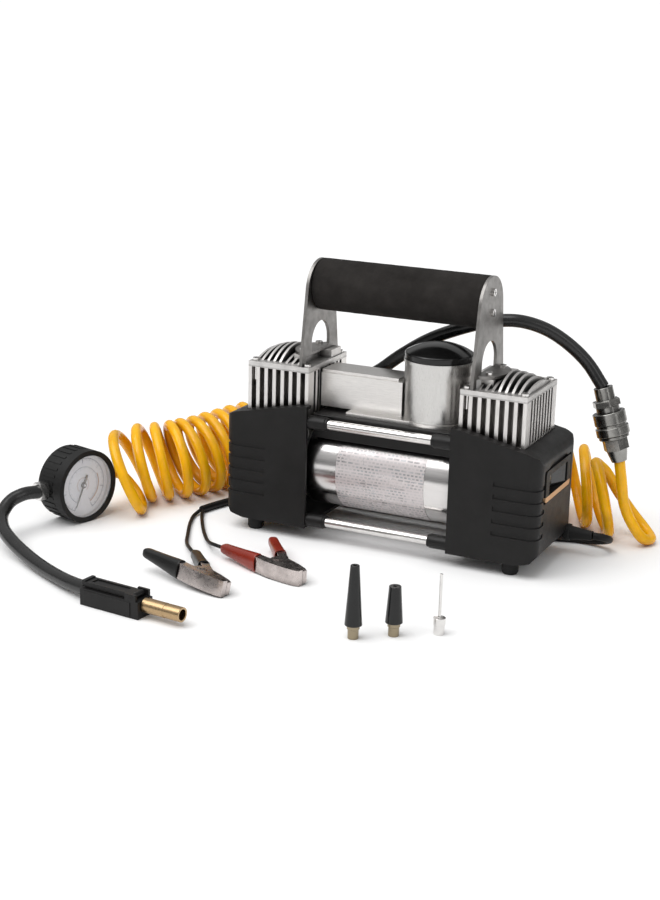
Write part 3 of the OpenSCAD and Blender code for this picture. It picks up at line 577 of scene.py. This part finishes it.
# ---------- CAD nodes that are shown as they are ----------
# each one's material, and how far its edges are rounded in millimetres
shown = {
    "cover_left": ("cover", 0.9), "cover_right": ("cover", 0.9), "feet": ("rubber", 0.5),
    "motor_can": ("can", 0.3), "motor_label": ("label", 0), "magnets": ("magnet", 0.3),
    "brush_gear": ("brass", 0.3), "armature": ("winding", 0.3), "crankshaft": ("chrome", 0.3),
    "blocks": ("fins", 0.25), "liners": ("dull", 0.2), "piston_left": ("cast", 0.3),
    "piston_right": ("cast", 0.3), "valve_plates": ("dull", 0.1), "heads": ("cast", 0.4),
    "screws": ("chrome", 0.15), "tie_rods": ("chrome", 0.4), "rod_collars": ("plastic", 0.4),
    "deck": ("plastic", 0.8), "manifold": ("block", 0.6), "tank": ("brushed", 0.5),
    "tank_cap": ("gloss", 0.8), "outlet_elbow": ("chrome", 0.4), "brackets": ("bracket", 0.35),
    "grip_core": ("dull", 0.3), "switch_bezel": ("bronze", 0.4), "rocker": ("gloss", 0.5),
    "cable_gland": ("rubber", 0.4), "coupler_socket": ("coupler", 0.5), "coupler_sleeve": ("coupler", 0.5),
    "coupler_plug": ("coupler", 0.4), "gauge_body": ("chrome", 0.4), "gauge_boot": ("rubber", 0.7),
    "gauge_dial": ("dial", 0), "gauge_needle": ("gloss", 0), "gauge_lens": ("lens", 0.3),
    "chuck_body": ("plastic", 0.6), "chuck_lever": ("plastic", 0.5), "chuck_barrel": ("brass", 0.3),
    "clamp_bases": ("clamp", 0.25), "clamp_springs": ("dull", 0.2), "black_jaw": ("clamp", 0.25),
    "red_jaw": ("clamp", 0.25),
    "adaptor_long": ("nozzle", 0.4), "adaptor_short": ("nozzle", 0.4), "adaptor_needle": ("chrome", 0.2)}
for name, (mat, width) in shown.items():
    o = nodes[name]
    o.data.materials.clear()
    o.data.materials.append(M[mat].material)
    if width:
        dress(o, width)


# ---------- foam grip ----------
def foam_profile(half, outer, bore):
    """(distance along, radius) of a sleeve with rounded rims and a faintly uneven middle"""
    rim = [(0, outer - 1.4), (0.3, outer - 0.6), (1.2, outer - 0.1)]
    even = half - 4
    uneven = 0.05
    middle = [(-even + k * even / 20, outer - uneven + uneven * math.sin(k * 1.7)) for k in range(41)]
    return ([(-half, bore)] + [(-half + x, r) for x, r in rim] + middle
            + [(half - x, r) for x, r in reversed(rim)] + [(half, bore)])


grip_low, grip_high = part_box("foam_grip")
grip_z = (grip_low[2] + grip_high[2]) / 2 / MM
outline = foam_profile(grip_high[0] / MM, (grip_high[2] - grip_low[2]) / 2 / MM, bore=13.05)
rings = [[(r * c, r * s, x) for c, s in circle(96)] for x, r in outline]
v, f = skin(rings)
place = TO_METRES @ Matrix.Translation((0, 0, grip_z)) @ Matrix.Rotation(math.pi / 2, 4, "Y")
grip = mesh("foam_sleeve", placed(v, place), f, "foam", "base", ["foam_grip"], 40)

# ---------- handle sleeves of the battery clamps ----------
# a clamp lies along X with its jaws' tips at the high end; all in millimetres
PIVOT = Matrix.Translation((-29.5, 0, 0))
SPLAY = 33
TAPER_FROM = -48
HANDLE_END = -85
# half widths of the two handles, and where their sleeves begin
BASE_W = 6.2
BASE_MOUTH = -43
JAW_W = 4.9
JAW_MOUTH = -48
MIRRORED = Matrix.Scale(-1, 4, (0, 1, 0))
SWUNG = MIRRORED @ PIVOT @ Matrix.Rotation(math.radians(SPLAY), 4, "Z") @ PIVOT.inverted()
clamps = {
    "black": ((-55.7, -184.8, 6.5), (-10, 4.6, -18.3), "sleeve", "gloss_black"),
    "red": ((-16.7, -136.6, 6.6), (0.6, 1.4, -20.5), "red", "red_pvc")}


def handle_ring(x, grow, w):
    """a rounded-square ring round a handle of half width w, grown by a factor"""
    t = max(0, (TAPER_FROM - x) / (TAPER_FROM - HANDLE_END))
    y = -6.4 + 0.4 * t
    half_y = (4.8 - 0.8 * t) * grow
    half_z = (w + 1.1 - (w - 2.7) * t) * grow
    ring = []
    for c, s in circle(32):
        r = (abs(c) ** 3 + abs(s) ** 3) ** (-1 / 3)
        ring.append((x, y + half_y * r * c, half_z * r * s))
    return ring


def sleeve(name, place, w, mouth, mat, node, body):
    """a dipped sleeve: a rolled lip at its mouth, tapering to a rounded end"""
    lip = [(-8, 0.84), (-0.6, 0.86), (0, 0.9), (0, 0.99), (-0.5, 1.02), (-1.6, 1.02), (-2.6, 0.99)]
    steps = 9
    start, stop = mouth - 5, HANDLE_END + 5
    shank = [(start + (stop - start) * k / steps, 0.985 - 0.03 * math.sin(math.pi * k / (steps + 1)))
             for k in range(steps + 1)]
    rear = [(3, 0.97), (1.4, 0.9), (0.4, 0.76), (0, 0.5)]
    stations = [(mouth + x, g) for x, g in lip] + shank + [(HANDLE_END + x, g) for x, g in rear]
    verts, faces = skin([handle_ring(x, grow, w) for x, grow in stations])
    n = len(verts) // len(stations)
    faces.append(tuple(range(len(verts) - n, len(verts))))
    faces.append(tuple(range(n - 1, -1, -1)))
    if place.determinant() > 0:
        faces = [tuple(reversed(q)) for q in faces]
    mesh(name, placed(verts, place), faces, mat, body, [node], 50)


for side, (at, tilt, mat, slot) in clamps.items():
    tilted = Euler([math.radians(q) for q in tilt], "XYZ").to_matrix().to_4x4()
    place = TO_METRES @ Matrix.Translation(at) @ tilted
    sleeve(side + "_grip", place, BASE_W, BASE_MOUTH, mat, side + "_sleeve", "base")
    sleeve(side + "_jaw_grip", place @ SWUNG, JAW_W, JAW_MOUTH, mat, side + "_jaw_sleeve",
           side + "_jaw")

# ---------- gauge dial print ----------
GAUGE = (TO_METRES @ Matrix.Translation((-238, -90, 30.5))
         @ Matrix.Rotation(math.radians(-15), 4, "Z"))
# the print lies just in front of the dial
PRINT_X = -6.54
# the needle rests on the scale's first mark and its joint ends on the last
SCALE = (25, 335)
STEPS = 30
RING_SIDES = 60


def sector(r0, r1, a0, a1, n):
    """flat piece of a ring on the dial; angles in degrees clockwise from straight down"""
    verts = []
    for k in range(n + 1):
        a = math.radians(a0 + (a1 - a0) * k / n)
        verts += [(PRINT_X, -r * math.sin(a), -r * math.cos(a)) for r in (r0, r1)]
    return verts, [(2 * k, 2 * k + 1, 2 * k + 3, 2 * k + 2) for k in range(n)]


def mark(r0, r1, step, half_width):
    """a mark at a step of the scale, its half width in degrees"""
    a = SCALE[0] + (SCALE[1] - SCALE[0]) * step / STEPS
    return sector(r0, r1, a - half_width, a + half_width, 1)


def printed(name, parts, mat):
    verts, faces = [], []
    for part_verts, part_faces in parts:
        faces += [tuple(i + len(verts) for i in q) for q in part_faces]
        verts += part_verts
    mesh(name, placed(verts, GAUGE), faces, mat, "base", (), 35)


marks = [sector(22.4, 22.9, *SCALE, RING_SIDES), sector(15.2, 15.6, *SCALE, RING_SIDES)]
for step in range(STEPS + 1):
    marks.append(mark(20.6, 22.6, step, 0.45) if step % 5 else mark(18.6, 22.6, step, 0.9))
marks += [mark(13.2, 15.3, step, 0.7) for step in range(0, STEPS + 1, 2)]
printed("dial_marks", marks, "print")
printed("dial_band", [sector(16.4, 17.4, 245, SCALE[1], 30), sector(6.0, 6.4, 40, 320, 30)], "print_red")


# ---------- floor and light ----------
def add_floor(half):
    me = bpy.data.meshes.new("floor")
    me.from_pydata([(-half, -half, 0), (half, -half, 0), (half, half, 0), (-half, half, 0)], [],
                   [(0, 1, 2, 3)])
    paper = Mat("paper", (0.95, 0.95, 0.95), 0.8, 0.0, 0.0)
    paper.vary(0.01, 3)
    paper.roughen(0.05, 5)
    me.materials.append(paper.material)
    add("floor", me)


def studio():
    """soft light from above; what is seen past the floor is as pale as the floor"""
    world = bpy.data.worlds.new("studio")
    scene.world = world
    world.use_nodes = True
    node = world.node_tree.nodes.new
    link = world.node_tree.links.new
    glow = next(n for n in world.node_tree.nodes if n.type == "BACKGROUND")
    surface = next(n for n in world.node_tree.nodes if n.type == "OUTPUT_WORLD").inputs["Surface"]
    coords = node("ShaderNodeTexCoord")
    height = node("ShaderNodeSeparateXYZ")
    link(coords.outputs["Generated"], height.inputs["Vector"])
    ramp = node("ShaderNodeValToRGB")
    stops = ramp.color_ramp.elements
    stops[0].color = (0.30, 0.30, 0.31, 1)
    stops[1].color = (1, 1, 1, 1)
    for at, level in ((0.12, 0.34), (0.34, 0.85)):
        stops.new(at).color = (level, level, level, 1)
    link(height.outputs["Z"], ramp.inputs["Fac"])
    link(ramp.outputs["Color"], glow.inputs["Color"])
    glow.inputs["Strength"].default_value = 0.62
    plain = node("ShaderNodeBackground")
    plain.inputs["Color"].default_value = (1, 1, 1, 1)
    path = node("ShaderNodeLightPath")
    either = node("ShaderNodeMixShader")
    link(path.outputs["Is Camera Ray"], either.inputs["Fac"])
    link(glow.outputs["Background"], either.inputs[1])
    link(plain.outputs["Background"], either.inputs[2])
    link(either.outputs["Shader"], surface)


def lamp(name, kind, at, aim, power, size):
    """size is a sun's angle in degrees, or an area's width and height in metres"""
    li = bpy.data.lights.new(name, kind)
    li.energy = power
    if kind == "SUN":
        li.angle = math.radians(size)
    else:
        li.shape = "RECTANGLE"
        li.size, li.size_y = size
    o = add(name, li)
    o.location = at
    o.rotation_euler = (Vector(aim) - Vector(at)).to_track_quat("-Z", "Y").to_euler()


add_floor(60.0)
studio()
lamp("sky", "SUN", (-0.8, -0.9, 2.6), (0, 0, 0), 1.9, 60)
lamp("key", "AREA", (-0.9, -1.2, 1.6), (0, 0, 0.1), 4, (0.5, 0.9))
lamp("fill", "AREA", (1.7, -0.7, 0.9), (0, 0, 0.1), 3, (0.4, 1.2))
scene.view_settings.view_transform = "Standard"
scene.view_settings.look = "None"
scene.view_settings.exposure = 0.0
